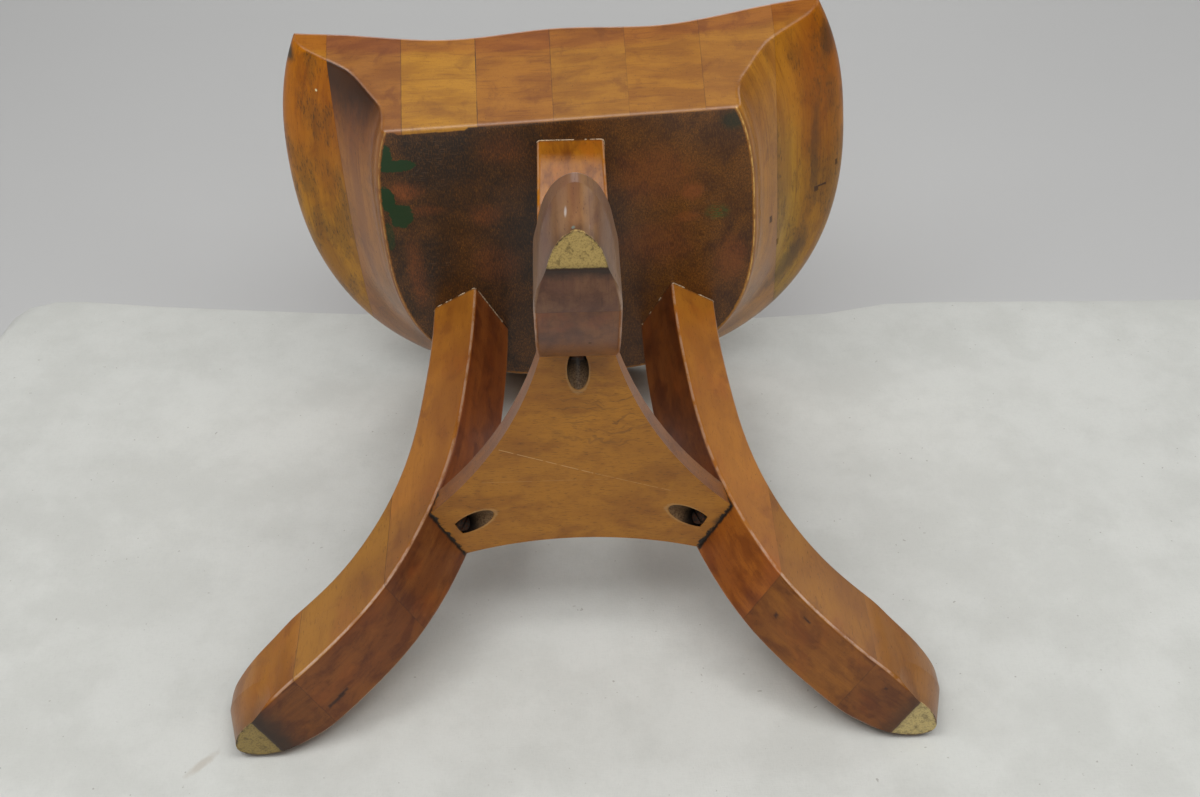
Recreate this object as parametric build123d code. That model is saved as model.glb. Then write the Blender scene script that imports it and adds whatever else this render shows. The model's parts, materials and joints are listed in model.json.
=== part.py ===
from build123d import *
import math
import os

# Tripod saddle stool: a hollowed seat of upright staves on three sabre legs, tied by a three-armed
# stretcher. Lengths are in mm and angles in degrees. Z is up. The pieces are made about the tripod's
# centre line, with the front at -Y and the floor at z = 0, and are moved to the origin at the end.

# Whole stool
seat_underside_height = 322.0
seat_turn = -3.0
leg_azimuths = {"front": -90.0, "right": 30.0, "left": 150.0}
cut_overrun = 60.0
edge_tolerance = 0.3

# Seat in plan, on the seat's own axes
pad_half_width = 126.0
pad_half_depth = 131.0
pad_centre_y = -40.0
rim_half_width = 197.0
rim_half_depth = 197.0
rim_centre_y = -53.0
front_edge_y = -117.0
front_lean = 26.5
front_round = 4.0
stave_count = 8
stave_blank_margin = 3.0
stave_seam_x = -4.5

# Seat in height, above its flat underside
rim_level = 72.0
rim_top = 80.0
dish_depth = 16.5
pommel_height = 4.0
pommel_half_width = 30.0
pommel_length = 95.0
thigh_hollow_depth = 8.0
thigh_hollow_radius = 62.0
thigh_hollow_x = 72.0
thigh_hollow_y = -20.0

# Legs, each sawn from a blank of upright boards glued edge to edge
leg_width = 44.4
leg_top_inner = 66.6
leg_top_outer = 101.9
leg_edge_round = 2.4
leg_blank_inner = 62.5
leg_board_width = 61.0
toe_reach = 248.0
toe_arch_length = 62.0
toe_overhang = 9.0
toe_undercut_height = 31.0
toe_undercut_spread = 0.3
sole_length = 22.0
sole_wear = 2.0

# Dowels between the legs and the seat
dowel_diameter = 10.0
dowel_length = 40.0
dowel_spacing = 22.0
dowel_chamfer = 1.0

# Stretcher
stretcher_underside = 105.0
stretcher_thickness = 16.0
stretcher_arm_half_width = 19.3
stretcher_waist_radius = 53.5
stretcher_scribe = 5.0

# Screws in slanted pockets, from the stretcher into the legs
pocket_diameter = 12.7
pocket_setback = 20.0
pocket_slant = 25.0
pocket_depth = 10.0
screw_head_diameter = 9.5
screw_head_height = 3.0
screw_shank_diameter = 4.5
screw_shank_length = 35.0
screw_slot_width = 1.4
screw_slot_depth = 1.5

# How the seat's side spreads from pad to rim and turns over: (share of rim_level, share of the spread)
cove_shares = (
    (0.00, 0.00),
    (0.18, 0.07),
    (0.35, 0.18),
    (0.50, 0.31),
    (0.63, 0.44),
    (0.73, 0.60),
    (0.83, 0.78),
    (0.92, 0.92),
    (1.00, 0.985),
    (1.06, 1.00),
    (1.12, 0.985),
    (1.16, 0.95),
)
pad_squareness = 2.8
rim_squareness = 2.3
oval_point_count = 32
dish_power = 2.5
dish_grid_count = 9
dish_grid_share = 1.1

# The leg's side outline: (share of toe_reach, share of seat_underside_height)
inner_curve_shares = (
    (0.272, 0.850),
    (0.286, 0.686),
    (0.325, 0.466),
    (0.403, 0.293),
    (0.527, 0.150),
    (0.657, 0.072),
    (0.790, 0.020),
)
outer_curve_shares = (
    (0.414, 0.850),
    (0.431, 0.683),
    (0.468, 0.508),
    (0.543, 0.366),
    (0.657, 0.262),
    (0.798, 0.199),
    (0.883, 0.168),
    (0.975, 0.134),
)
toe_tip_height_share = 0.085

# The toe's arch in plan: (share of the arch's length, share of half the leg's width)
toe_arch_shares = (
    (0.28, 0.91),
    (0.55, 0.79),
    (0.75, 0.63),
    (0.91, 0.39),
)
toe_sole_shares = (
    (0.28, 0.91),
    (0.55, 0.70),
    (0.75, 0.56),
    (0.91, 0.35),
)


def slab(start, end):
    """A block that is wider and taller than the stool, from one place to another along X."""
    size = 2 * toe_reach + 2 * seat_underside_height
    return Pos((start + end) / 2, 0, 0) * Box(end - start, size, size)


def cylinder_between(start, end, diameter):
    """A round bar from one point to another."""
    axis = Vector(end) - Vector(start)
    bar = Cylinder(diameter / 2, axis.length, align=(Align.CENTER, Align.CENTER, Align.MIN))
    return Plane(origin=start, z_dir=axis) * bar


def level_block(bottom, top):
    """A block that is wider than the stool, from one height to another."""
    size = 2 * toe_reach + 2 * cut_overrun
    return Pos(0, 0, (bottom + top) / 2) * Box(size, size, top - bottom)


# Seat


def oval_outline(spread, height):
    """Closed outline of the seat's side at a height above its underside."""
    half_width = pad_half_width + (rim_half_width - pad_half_width) * spread
    half_depth = pad_half_depth + (rim_half_depth - pad_half_depth) * spread
    centre_y = pad_centre_y + (rim_centre_y - pad_centre_y) * spread
    power = 2 / (pad_squareness + (rim_squareness - pad_squareness) * spread)
    points = []
    for index in range(oval_point_count):
        angle = 2 * math.pi * index / oval_point_count
        across = math.copysign(abs(math.cos(angle)) ** power, math.cos(angle))
        along = math.copysign(abs(math.sin(angle)) ** power, math.sin(angle))
        points.append((half_width * across, centre_y + half_depth * along, height))
    return Face(Wire(Spline(*points, periodic=True)))


def dish_height(x, y):
    """Height of the hollowed top above the seat's underside."""
    reach = math.hypot(x / rim_half_width, (y - rim_centre_y) / rim_half_depth)
    bowl = dish_depth * (1 - reach**dish_power)
    thigh_x = (abs(x) - thigh_hollow_x) / thigh_hollow_radius
    thigh_y = (y - thigh_hollow_y) / thigh_hollow_radius
    thigh = thigh_hollow_depth * math.exp(-(thigh_x**2) - thigh_y**2)
    pommel_x = x / pommel_half_width
    pommel_y = max(y - front_edge_y, 0) / pommel_length
    pommel = pommel_height * math.exp(-(pommel_x**2) - pommel_y**2)
    return rim_top - bowl - thigh + pommel


def dish_cutter():
    """Everything above the hollowed top."""
    shares = [2 * index / (dish_grid_count - 1) - 1 for index in range(dish_grid_count)]
    grid = []
    for x_share in shares:
        x = rim_half_width * dish_grid_share * x_share
        rows = [rim_centre_y + rim_half_depth * dish_grid_share * y_share for y_share in shares]
        grid.append([Vector(x, y, dish_height(x, y)) for y in rows])
    top = Face.make_surface_from_array_of_points(grid)
    return extrude(top, 2 * cut_overrun, dir=(0, 0, 1))


def front_cutter():
    """Everything in front of the straight, leaning front face."""
    lean = math.tan(math.radians(front_lean))
    high = rim_top + cut_overrun
    side = Polyline(
        (front_edge_y + cut_overrun * lean, -cut_overrun),
        (front_edge_y - high * lean, high),
        (-2 * rim_half_depth, high),
        (-2 * rim_half_depth, -cut_overrun),
        close=True,
    )
    return extrude(Plane.YZ * make_face(side), 2 * rim_half_width, both=True)


def on_front_face(edge):
    """True for an edge that lies in the leaning front face."""
    lean = math.tan(math.radians(front_lean))
    offsets = [abs(point.Y - front_edge_y + point.Z * lean) for point in (edge @ 0, edge @ 0.5, edge @ 1)]
    return max(offsets) < edge_tolerance


def make_seat_block():
    """The seat before it is parted into staves, where it stands on the legs."""
    block = loft([oval_outline(spread, share * rim_level) for share, spread in cove_shares])
    block -= front_cutter()
    block -= dish_cutter()
    block = fillet([edge for edge in block.edges() if on_front_face(edge)], front_round)
    return Pos(0, 0, seat_underside_height) * block


def stave_bounds():
    """Where the staves begin and end along X, from left to right."""
    stave_width = 2 * (rim_half_width + stave_blank_margin) / stave_count
    seams = [stave_seam_x + stave_width * (count - stave_count / 2) for count in range(1, stave_count)]
    return [-rim_half_width - cut_overrun] + seams + [rim_half_width + cut_overrun]


# Legs


def leg_side_face():
    """The leg's side outline, with its reach from the centre line along X and spare length on top."""
    top = seat_underside_height
    crown = top + cut_overrun
    inner = [(toe_reach * reach, top * height) for reach, height in inner_curve_shares]
    outer = [(toe_reach * reach, top * height) for reach, height in outer_curve_shares]
    sole_inner = toe_reach - toe_overhang - sole_length
    sole_outer = toe_reach - toe_overhang / 2
    sole = ((sole_inner + sole_outer) / 2, -sole_wear)
    tip = (toe_reach, top * toe_tip_height_share)
    inner_curve = Spline((leg_top_inner, top), *inner, (sole_inner, 0), sole, tangents=[(0, -1), (1, 0)])
    toe_curve = Spline(sole, (sole_outer, 0), tip, outer[-1], tangents=[(1, 0), (-2, 1)])
    outer_curve = Spline(*outer[::-1], (leg_top_outer, top), tangents=[(-2, 1), (0, 1)])
    spare = [(leg_top_outer, top), (leg_top_outer, crown), (leg_top_inner, crown), (leg_top_inner, top)]
    return make_face([inner_curve, toe_curve, outer_curve, Polyline(*spare)])


def toe_plan(reach, shares, spread=0.0):
    """The leg's width in plan, drawn in to a pointed arch that ends at a reach, and spread by a margin."""
    half = leg_width / 2 + spread
    start = toe_reach - toe_arch_length
    length = reach + spread - start
    side = [(start + length * along, half * across) for along, across in shares]
    right = [(start, half)] + side + [(start + length, 0)]
    left = [(x, -y) for x, y in right[::-1]]
    arch = Spline(*right, *left[1:], tangents=[(1, 0), (-1, 0)])
    back = Polyline(left[-1], (0, -half), (0, half), right[0])
    return make_face([arch, back])


def toe_arch_prism():
    """A tall prism that draws the leg's width in to a pointed arch at the toe."""
    plan = toe_plan(toe_reach, toe_arch_shares)
    return extrude(plan, seat_underside_height + 2 * cut_overrun, both=True)


def toe_undercut_body():
    """A body over the leg whose walls lean in towards the sole, where the toe is rounded under."""
    sole = toe_plan(toe_reach - toe_overhang, toe_sole_shares, toe_undercut_spread)
    full = toe_plan(toe_reach, toe_arch_shares, toe_undercut_spread)
    raised = Pos(0, 0, toe_undercut_height) * full
    return loft([sole, raised], ruled=True) + extrude(raised, seat_underside_height + cut_overrun)


def leg_inner_reach(height):
    """How far the leg's inner face stands from the centre line at a height."""
    points = [(seat_underside_height * rise, toe_reach * reach) for reach, rise in inner_curve_shares]
    for (upper, near), (lower, far) in zip(points, points[1:]):
        if lower <= height <= upper:
            return near + (far - near) * (upper - height) / (upper - lower)
    return leg_top_inner


def dowel_centres():
    """Where a leg's two dowels cross its top."""
    x = (leg_top_inner + leg_top_outer) / 2
    return [(x, side * dowel_spacing / 2, seat_underside_height) for side in (-1, 1)]


def make_dowel(centre):
    """One dowel, half in the leg and half in the seat."""
    dowel = Cylinder(dowel_diameter / 2, dowel_length)
    return Pos(*centre) * chamfer(dowel.edges().filter_by(GeomType.CIRCLE), dowel_chamfer)


def dowel_hole(centre):
    """The hole that a dowel fills."""
    return Pos(*centre) * Cylinder(dowel_diameter / 2, dowel_length)


def make_leg():
    """One leg before it is parted into boards, reaching out along +X."""
    side = Pos(0, leg_width / 2, 0) * (Plane.XZ * leg_side_face())
    blank = extrude(side, leg_width) & toe_arch_prism()
    crown = seat_underside_height + cut_overrun
    edges = [edge for edge in blank.edges() if edge.bounding_box().min.Z < crown - edge_tolerance]
    leg = fillet(edges, leg_edge_round) & level_block(0, seat_underside_height) & toe_undercut_body()
    for centre in dowel_centres():
        leg -= dowel_hole(centre)
    return leg


# Stretcher and its screws


def screw_point(distance):
    """A point on the slanted axis of a screw, at a distance past the middle of its pocket's mouth."""
    slant = math.radians(pocket_slant)
    mouth = leg_inner_reach(stretcher_underside) - pocket_setback
    return (mouth + distance * math.cos(slant), 0, stretcher_underside + distance * math.sin(slant))


def screw_pocket():
    """The round pocket for a screw's head, open at the stretcher's underside."""
    return cylinder_between(screw_point(-cut_overrun), screw_point(pocket_depth), pocket_diameter)


def screw_shank():
    """A screw's shank, from the pocket's floor into the leg, and the hole that it fills."""
    end = screw_point(pocket_depth + screw_shank_length)
    return cylinder_between(screw_point(pocket_depth), end, screw_shank_diameter)


def make_screw():
    """One slotted wood screw, with its head on the pocket's floor."""
    start = screw_point(pocket_depth - screw_head_height)
    head = cylinder_between(start, screw_point(pocket_depth), screw_head_diameter)
    slot = Box(2 * screw_slot_depth, screw_slot_width, 2 * screw_head_diameter)
    head -= Pos(*start) * Rot(0, -pocket_slant, 0) * slot
    return head + screw_shank()


def make_stretcher(legs):
    """The three-armed plate, hollowed between its arms and cut to the legs' inner faces."""
    corner = leg_inner_reach(stretcher_underside)
    half = stretcher_arm_half_width
    edges = []
    azimuths = sorted(leg_azimuths.values())
    for azimuth, following in zip(azimuths, azimuths[1:] + [azimuths[0] + 360]):
        arm = Rot(0, 0, azimuth)
        ends = [(corner, -half), (corner + stretcher_scribe, -half), (corner + stretcher_scribe, half)]
        end_points = [(arm * Pos(x, y, 0)).position for x, y in ends + [(corner, half)]]
        edges.append(Polyline(*end_points))
        waist = (Rot(0, 0, (azimuth + following) / 2) * Pos(stretcher_waist_radius, 0, 0)).position
        next_corner = (Rot(0, 0, following) * Pos(corner, -half, 0)).position
        edges.append(ThreePointArc(end_points[-1], waist, next_corner))
    plate = Pos(0, 0, stretcher_underside) * extrude(make_face(edges), stretcher_thickness)
    for name, azimuth in leg_azimuths.items():
        plate -= legs[name]
        plate -= Rot(0, 0, azimuth) * screw_pocket()
        plate -= Rot(0, 0, azimuth) * screw_shank()
    return plate


# Assembly


def make_pieces():
    """Every piece of the stool by name, about the tripod's centre line."""
    pieces = {}
    legs = {name: Rot(0, 0, azimuth) * make_leg() for name, azimuth in leg_azimuths.items()}
    pieces["stretcher"] = make_stretcher(legs)
    leg_bounds = [0]
    leg_bounds += [leg_blank_inner + leg_board_width * count for count in (1, 2)]
    leg_bounds += [toe_reach + cut_overrun]
    seat = make_seat_block()
    for name, azimuth in leg_azimuths.items():
        turn = Rot(0, 0, azimuth)
        pieces[f"screw_{name}"] = turn * make_screw()
        leg = legs[name] - turn * screw_shank()
        for board, start, end in zip(("post", "knee", "toe"), leg_bounds, leg_bounds[1:]):
            pieces[f"leg_{name}_{board}"] = leg & turn * slab(start, end)
        for side, centre in zip("ab", dowel_centres()):
            pieces[f"dowel_{name}_{side}"] = turn * make_dowel(centre)
            seat -= Rot(0, 0, -seat_turn) * turn * dowel_hole(centre)
    bounds = stave_bounds()
    for count, (start, end) in enumerate(zip(bounds, bounds[1:]), start=1):
        pieces[f"seat_stave_{count}"] = Rot(0, 0, seat_turn) * (seat & slab(start, end))
    return pieces


def main():
    """Write one STEP file for each piece, with the origin at the middle of the stool's base."""
    pieces = make_pieces()
    box = Compound(children=[Compound(piece.solids()) for piece in pieces.values()]).bounding_box()
    to_origin = Pos(-box.center().X, -box.center().Y, -box.min.Z)
    os.makedirs("parts", exist_ok=True)
    for name, piece in pieces.items():
        export_step(to_origin * piece, f"parts/{name}.step")
    print("Pieces:", len(pieces))
    print("Size:", box.size)
    print("Tripod centre from the origin:", to_origin.position)


main()
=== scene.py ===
"""Tripod saddle stool: finishes, glue, floor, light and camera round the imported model.

Lengths in the finishes are in millimetres on each piece's own axes. Places in the scene are in metres.
"""
import json
import math

import bmesh
import bpy
from mathutils import Matrix, Vector


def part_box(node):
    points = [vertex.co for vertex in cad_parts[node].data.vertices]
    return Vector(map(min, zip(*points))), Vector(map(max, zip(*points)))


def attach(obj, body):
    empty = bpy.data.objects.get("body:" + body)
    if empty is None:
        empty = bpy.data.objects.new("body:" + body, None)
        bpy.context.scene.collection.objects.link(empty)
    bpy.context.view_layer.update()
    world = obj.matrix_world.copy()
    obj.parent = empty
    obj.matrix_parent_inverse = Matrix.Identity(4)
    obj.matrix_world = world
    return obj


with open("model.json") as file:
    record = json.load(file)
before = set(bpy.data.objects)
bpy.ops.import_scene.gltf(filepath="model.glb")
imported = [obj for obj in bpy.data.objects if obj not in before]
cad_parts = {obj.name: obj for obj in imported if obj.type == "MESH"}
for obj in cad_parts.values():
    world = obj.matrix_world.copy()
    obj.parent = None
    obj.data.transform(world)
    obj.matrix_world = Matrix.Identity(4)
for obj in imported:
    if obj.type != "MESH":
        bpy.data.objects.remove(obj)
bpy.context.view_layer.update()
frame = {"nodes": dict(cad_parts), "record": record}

MM = 0.001

# The stool's own places, as the part has them
FEET = [Vector(mount["pos_m"]) for mount in frame["record"]["mounts"]]
TRIPOD_CENTRE = sum(FEET, Vector()) / len(FEET)
LEG_AZIMUTHS = {"front": math.radians(-90), "right": math.radians(30), "left": math.radians(150)}
SEAT_TURN = math.radians(-3)
SEAT_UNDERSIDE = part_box("leg_front_post")[1].z
STRETCHER_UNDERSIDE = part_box("stretcher")[0].z
FLOOR_CENTRE = Vector((TRIPOD_CENTRE.x, TRIPOD_CENTRE.y, 0.0))
SEAT_CENTRE = Vector((TRIPOD_CENTRE.x, TRIPOD_CENTRE.y, SEAT_UNDERSIDE))
PAD_HALF_WIDTH = 126.0
PAD_HALF_DEPTH = 131.0
PAD_CENTRE_Y = -40.0
PAD_SQUARENESS = 2.8
FRONT_EDGE_Y = -117.0
STAVE_WIDTH = 50.0
STAVE_SEAM_X = -4.5
RIM_HALF_WIDTH = 197.0
RIM_MIDDLE_Z = 60.0
RIM_RISE = 18.0
LEG_HALF_WIDTH = 22.2
LEG_TOP_REACH = (66.6, 101.9)
LEG_EDGE_ROUND = 2.4
LEG_SEAM_REACH = (123.5, 184.5)
SOLE_REACH = 217.0
TOE_CURVE_REACH = 200.0
NOSE_REACH = 240.0
BARE_SOLE_REACH = (218.6, 239.6)
BARE_SOLE_HALF_WIDTH = 14.6
STRETCHER_END_REACH = 96.2
STRETCHER_END_LEAN = 0.346
ARM_HALF_WIDTH = 19.3
POCKET_REACH = 76.2
POCKET_RADIUS = 6.35
POCKET_SLANT = math.radians(25)

# Colours that several finishes share
UMBER = (0.070, 0.028, 0.011)
SOOT = (0.016, 0.011, 0.008)
DIRT = (0.030, 0.017, 0.011)
WORN_WOOD = (0.66, 0.37, 0.09)
SCRATCHED_WOOD = (0.62, 0.38, 0.16)
GREEN_PAINT = (0.008, 0.038, 0.010)
DRIED_GLUE = (0.52, 0.38, 0.24)
IRON = (0.055, 0.048, 0.042)

# How rough the clear coat of every finish is
COAT_ROUGHNESS = 0.16


def add_node(tree, kind, inputs, **settings):
    """A node of a tree with its settings made and each input linked or set."""
    made = tree.nodes.new(kind)
    for key, value in settings.items():
        setattr(made, key, value)
    for key, value in inputs.items():
        socket = made.inputs[key]
        if isinstance(value, bpy.types.NodeSocket):
            tree.links.new(value, socket)
        elif socket.type == "RGBA":
            socket.default_value = (*value, 1.0)
        else:
            socket.default_value = value
    return made


def add_object(name, data):
    """A new object of the scene."""
    made = bpy.data.objects.new(name, data)
    bpy.context.scene.collection.objects.link(made)
    return made


class Web:
    """A material's node tree, with short calls for the nodes that the finishes share."""

    def __init__(self, name):
        self.material = bpy.data.materials.new(name)
        self.material.use_nodes = True
        self.tree = self.material.node_tree
        self.tree.nodes.clear()

    def node(self, kind, inputs, **settings):
        """A node of this material."""
        return add_node(self.tree, kind, inputs, **settings)

    def math(self, operation, *values):
        """One step of arithmetic."""
        return self.node("ShaderNodeMath", dict(enumerate(values)), operation=operation).outputs[0]

    def add(self, *values):
        """The sum of any number of values."""
        total = values[0]
        for value in values[1:]:
            total = self.math("ADD", total, value)
        return total

    def less(self, first, second):
        """The first value less the second."""
        return self.math("SUBTRACT", first, second)

    def times(self, *values):
        """The product of any number of values."""
        product = values[0]
        for value in values[1:]:
            product = self.math("MULTIPLY", product, value)
        return product

    def over(self, first, second):
        """The first value divided by the second."""
        return self.math("DIVIDE", first, second)

    def most(self, *values):
        """The largest of any number of values."""
        largest = values[0]
        for value in values[1:]:
            largest = self.math("MAXIMUM", largest, value)
        return largest

    def size(self, value):
        """A value without its sign."""
        return self.math("ABSOLUTE", value)

    def length(self, first, second):
        """The length of a line that runs so far along two axes."""
        return self.math("SQRT", self.add(self.times(first, first), self.times(second, second)))

    def rise(self, value, low, high):
        """0 below low and 1 above high, with a smooth slope between. It falls where low is above high."""
        inputs = {"Value": value, "From Min": min(low, high), "From Max": max(low, high)}
        inputs["To Min"], inputs["To Max"] = (0.0, 1.0) if low < high else (1.0, 0.0)
        return self.node("ShaderNodeMapRange", inputs, interpolation_type="SMOOTHSTEP").outputs["Result"]

    def blend(self, share, first, second):
        """One colour going over into another."""
        inputs = {0: share, 6: first, 7: second}
        return self.node("ShaderNodeMix", inputs, data_type="RGBA").outputs[2]

    def mix(self, share, first, second):
        """One value going over into another."""
        inputs = {0: share, 2: first, 3: second}
        return self.node("ShaderNodeMix", inputs, data_type="FLOAT").outputs[0]

    def stain(self, share, colour, tint):
        """A colour multiplied by a tint, by a share."""
        inputs = {0: share, 6: colour, 7: tint}
        return self.node("ShaderNodeMix", inputs, data_type="RGBA", blend_type="MULTIPLY").outputs[2]

    def split(self, vector):
        """A vector's three parts."""
        return self.node("ShaderNodeSeparateXYZ", {0: vector}).outputs[:3]

    def join(self, x, y, z):
        """A vector from three parts."""
        return self.node("ShaderNodeCombineXYZ", {0: x, 1: y, 2: z}).outputs[0]

    def noise(self, vector, size, seed, detail, roughness=0.5, distortion=0.0):
        """Cloudy noise whose clouds are about as large as the three lengths of size."""
        inputs = {"Vector": vector, "Location": (seed, seed * 2, seed * 3), "Scale": [1 / x for x in size]}
        place = self.node("ShaderNodeMapping", inputs, vector_type="POINT").outputs["Vector"]
        inputs = {"Vector": place, "Scale": 1.0, "Detail": detail, "Roughness": roughness}
        inputs["Distortion"] = distortion
        return self.node("ShaderNodeTexNoise", inputs, noise_dimensions="3D").outputs[0]

    def ragged(self, vector, size, seed, reach, detail=4.0):
        """A value that wanders to both sides of 0, for uneven borders."""
        return self.times(self.less(self.noise(vector, size, seed, detail, 0.65), 0.5), reach * 2)

    def own_place(self, centre=(0, 0, 0), turn=0.0):
        """Object coordinates from a piece's own centre, on its own axes, in millimetres."""
        place = self.node("ShaderNodeTexCoord", {}).outputs["Object"]
        inputs = {"Vector": place, "Location": centre, "Rotation": (0, 0, turn), "Scale": (MM, MM, MM)}
        return self.node("ShaderNodeMapping", inputs, vector_type="TEXTURE").outputs["Vector"]

    def facing(self, direction):
        """How far the surface faces a direction: 1 towards it, 0 across it, -1 away."""
        normal = self.node("ShaderNodeNewGeometry", {}).outputs["Normal"]
        inputs = {0: normal, 1: direction}
        return self.node("ShaderNodeVectorMath", inputs, operation="DOT_PRODUCT").outputs["Value"]

    def patch(self, x, y, centre, half, ragged, edge=1.0):
        """1 inside a box of the x and y plane whose border a ragged value moves in and out."""
        across = self.less(self.size(self.less(x, centre[0])), half[0])
        along = self.less(self.size(self.less(y, centre[1])), half[1])
        return self.rise(self.add(self.most(across, along), ragged), edge, -edge)

    def spot(self, x, y, centre, half, ragged=0.0, outer=1.0, inner=0.3):
        """1 in the middle of an oval of the x and y plane, fading out to its border."""
        across = self.over(self.less(x, centre[0]), half[0])
        along = self.over(self.less(y, centre[1]), half[1])
        return self.rise(self.add(self.length(across, along), ragged), outer, inner)

    def scratch(self, x, y, start, end, width):
        """1 on a straight line of the x and y plane from one point to another."""
        run = Vector(end) - Vector(start)
        from_x, from_y = self.less(x, start[0]), self.less(y, start[1])
        share = self.over(self.add(self.times(from_x, run.x), self.times(from_y, run.y)), run.length_squared)
        share = self.math("MINIMUM", self.most(share, 0.0), 1.0)
        off_x = self.less(from_x, self.times(share, run.x))
        off_y = self.less(from_y, self.times(share, run.y))
        return self.rise(self.length(off_x, off_y), width, width / 3)

    def bump(self, height, depth):
        """The normals of a relief, where a height of 1 stands depth metres proud."""
        inputs = {"Height": height, "Distance": depth, "Strength": 1.0}
        return self.node("ShaderNodeBump", inputs).outputs[0]

    def finish(self, colour, roughness, height, depth, coat=0.0, shine=0.5, metal=0.0):
        """The surface: its colour, gloss and relief."""
        inputs = {"Base Color": colour, "Roughness": roughness, "Normal": self.bump(height, depth)}
        inputs |= {"Coat Weight": coat, "Coat Roughness": COAT_ROUGHNESS}
        inputs |= {"Specular IOR Level": shine, "Metallic": metal}
        surface = self.node("ShaderNodeBsdfPrincipled", inputs)
        self.node("ShaderNodeOutputMaterial", {"Surface": surface.outputs[0]})
        return self.material


# Wood


def shade(colour, red, green, blue):
    """A colour with each part multiplied."""
    return (colour[0] * red, colour[1] * green, colour[2] * blue)


def board(web, place, seed, tone, lines=0.5, blotches=0.5, dashes=0.6):
    """Stained wood with its fibres along Y and its growth layers stacked along Z.

    Returns its colour and the depth of its pores and streaks.
    """
    x, y, z = web.split(place)
    wander = web.ragged(place, (90, 260, 60), seed, 6.0, 2.0)
    flow = web.join(x, y, web.add(z, wander, web.times(x, 0.05 * math.sin(seed * 5))))
    broad = web.noise(flow, (48, 120, 10), seed * 3, 3.0, 0.55)
    streaks = web.noise(flow, (26, 85, 1.5), seed * 2, 3.0, 0.6)
    fine = web.noise(flow, (8, 50, 0.55), seed * 4, 2.0, 0.6)
    blotch = web.noise(place, (19, 34, 15), seed * 5, 5.0, 0.62, 0.5)
    grain = web.noise(place, (1.1, 9, 1.1), seed * 7, 2.0, 0.6)
    pores = web.rise(web.noise(place, (0.75, 6.0, 0.75), seed * 6, 2.0, 0.5), 0.64, 0.73)
    dull, bright = shade(tone, 0.88, 0.84, 0.90), shade(tone, 1.20, 1.26, 1.20)
    colour = web.blend(web.rise(broad, 0.36, 0.62), dull, bright)
    layers = (
        (web.rise(streaks, 0.52, 0.72), lines, (0.62, 0.52, 0.75)),
        (web.rise(fine, 0.50, 0.76), lines * 0.6, (0.60, 0.50, 0.70)),
        (web.rise(fine, 0.46, 0.28), lines * 0.5, (1.22, 1.30, 1.30)),
        (web.rise(blotch, 0.52, 0.70), blotches, (0.55, 0.45, 0.80)),
        (web.rise(grain, 0.52, 0.74), 0.22, (0.50, 0.42, 0.60)),
        (pores, dashes, (0.30, 0.26, 0.50)),
    )
    for share, strength, change in layers:
        colour = web.blend(web.times(share, strength), colour, shade(tone, *change))
    return colour, web.add(pores, web.times(web.rise(grain, 0.4, 0.8), 0.3))


def lacquer(web, place, colour, relief, seed, shine, gloss=0.0):
    """The worn lacquer over a board: uneven gloss and the slight waves of hand sanding."""
    smears = web.noise(place, (13, 20, 13), seed, 3.0, 0.6)
    roughness = web.less(web.add(0.27, web.times(smears, 0.16), web.times(relief, 0.10)), gloss)
    waves = web.noise(place, (26, 38, 26), seed * 2, 1.0)
    height = web.less(web.times(waves, 6.0), web.times(relief, 0.6))
    return web.finish(colour, roughness, height, 0.05 * MM, shine * 0.4, shine)


# Seat

# Each stave's tone, and how dark its seams to the left and to the right are
STAVE_WOODS = {
    1: ((0.400, 0.122, 0.004), 0.0, 0.30),
    2: ((0.260, 0.094, 0.016), 0.30, 0.55),
    3: ((0.355, 0.152, 0.014), 0.55, 0.95),
    4: ((0.290, 0.106, 0.012), 0.95, 0.60),
    5: ((0.302, 0.120, 0.012), 0.60, 0.30),
    6: ((0.300, 0.115, 0.010), 0.30, 0.45),
    7: ((0.310, 0.122, 0.014), 0.45, 0.22),
    8: ((0.350, 0.104, 0.004), 0.22, 0.0),
}

# How strongly the dark dashes show in each cove
COVE_SPECKLES = {1: 1.0, 2: 0.55, 7: 0.35, 8: 0.80}

# Places of the underside: (centre, half size) and how much of the colour shows
BLACKENED = (
    ((-83.0, -94.0), (24.0, 19.0), 1.00),
    ((-80.0, -66.0), (24.0, 16.0), 0.55),
    ((-92.0, -14.0), (13.0, 19.0), 0.90),
    ((-40.0, -20.0), (16.0, 26.0), 0.45),
    ((14.0, -30.0), (14.0, 60.0), 0.35),
    ((-31.0, -62.0), (20.0, 46.0), 0.40),
    ((-40.0, 42.0), (60.0, 16.0), 0.45),
    ((-30.0, -106.0), (26.0, 8.0), 0.35),
)
REDDENED = (
    ((-109.0, -71.0), (11.0, 7.0), 0.95),
    ((-98.0, -55.0), (12.0, 4.0), 0.55),
    ((-108.0, -6.0), (6.0, 26.0), 0.50),
    ((-56.0, -48.0), (10.0, 8.0), 0.55),
    ((-52.0, -8.0), (14.0, 14.0), 0.50),
    ((-40.0, -98.0), (14.0, 10.0), 0.45),
    ((84.0, -56.0), (8.0, 6.0), 0.85),
    ((80.0, -36.0), (8.0, 4.0), 0.60),
    ((60.0, -70.0), (26.0, 20.0), 0.45),
    ((58.0, -16.0), (24.0, 16.0), 0.45),
    ((110.0, 0.0), (10.0, 16.0), 0.60),
)
PAINTED = (
    ((-119.0, -99.0), (5.0, 8.0), 1.0),
    ((-112.0, -91.0), (12.0, 4.5), 1.0),
    ((-121.0, -66.0), (4.5, 9.0), 1.0),
    ((-113.0, -52.0), (7.5, 8.5), 0.95),
    ((-123.0, -36.0), (3.0, 10.0), 0.6),
)


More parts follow.
